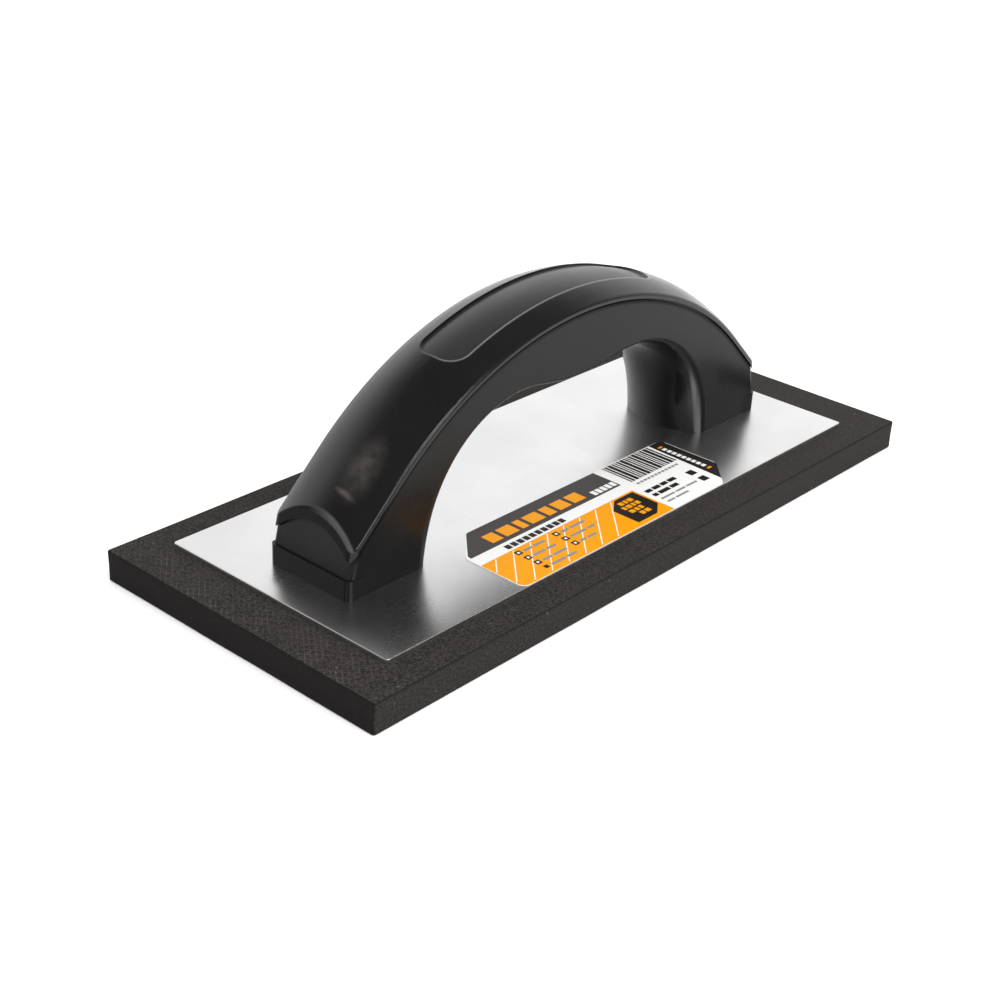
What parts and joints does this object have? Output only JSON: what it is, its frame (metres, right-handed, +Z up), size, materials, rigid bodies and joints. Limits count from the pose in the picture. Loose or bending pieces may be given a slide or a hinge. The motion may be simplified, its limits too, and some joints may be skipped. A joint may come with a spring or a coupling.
{
  "type": "grout float",
  "caption": "Flat foam board on an aluminium plate with an arched plastic bow handle, for spreading and wiping grout.",
  "frame": {"origin": "middle of the foam's working face, where the float rests", "axes": "+X along the board towards the rear foot, +Y across it, +Z up through the handle"},
  "size_m": [0.23, 0.1, 0.07],
  "materials": {
    "foam": "matt charcoal closed-cell EVA foam",
    "glue": "dried contact adhesive",
    "plate": "mill finish, faintly brushed along its length",
    "label": "coated printed sticker with plain blocks of colour",
    "handle_matte": "satin black moulded plastic",
    "handle_gloss": "semi-gloss black moulded plastic",
    "screw": "zinc-plated steel"
  },
  "bodies": {
    "root": {"eva_pad": "foam", "bond_film": "glue", "backing_plate": "plate", "info_label": "label", "handle_body": "handle_matte", "grip_cover": "handle_gloss", "front_screw_left": "screw", "front_screw_right": "screw", "rear_screw_left": "screw", "rear_screw_right": "screw"}
  },
  "joints": []
}
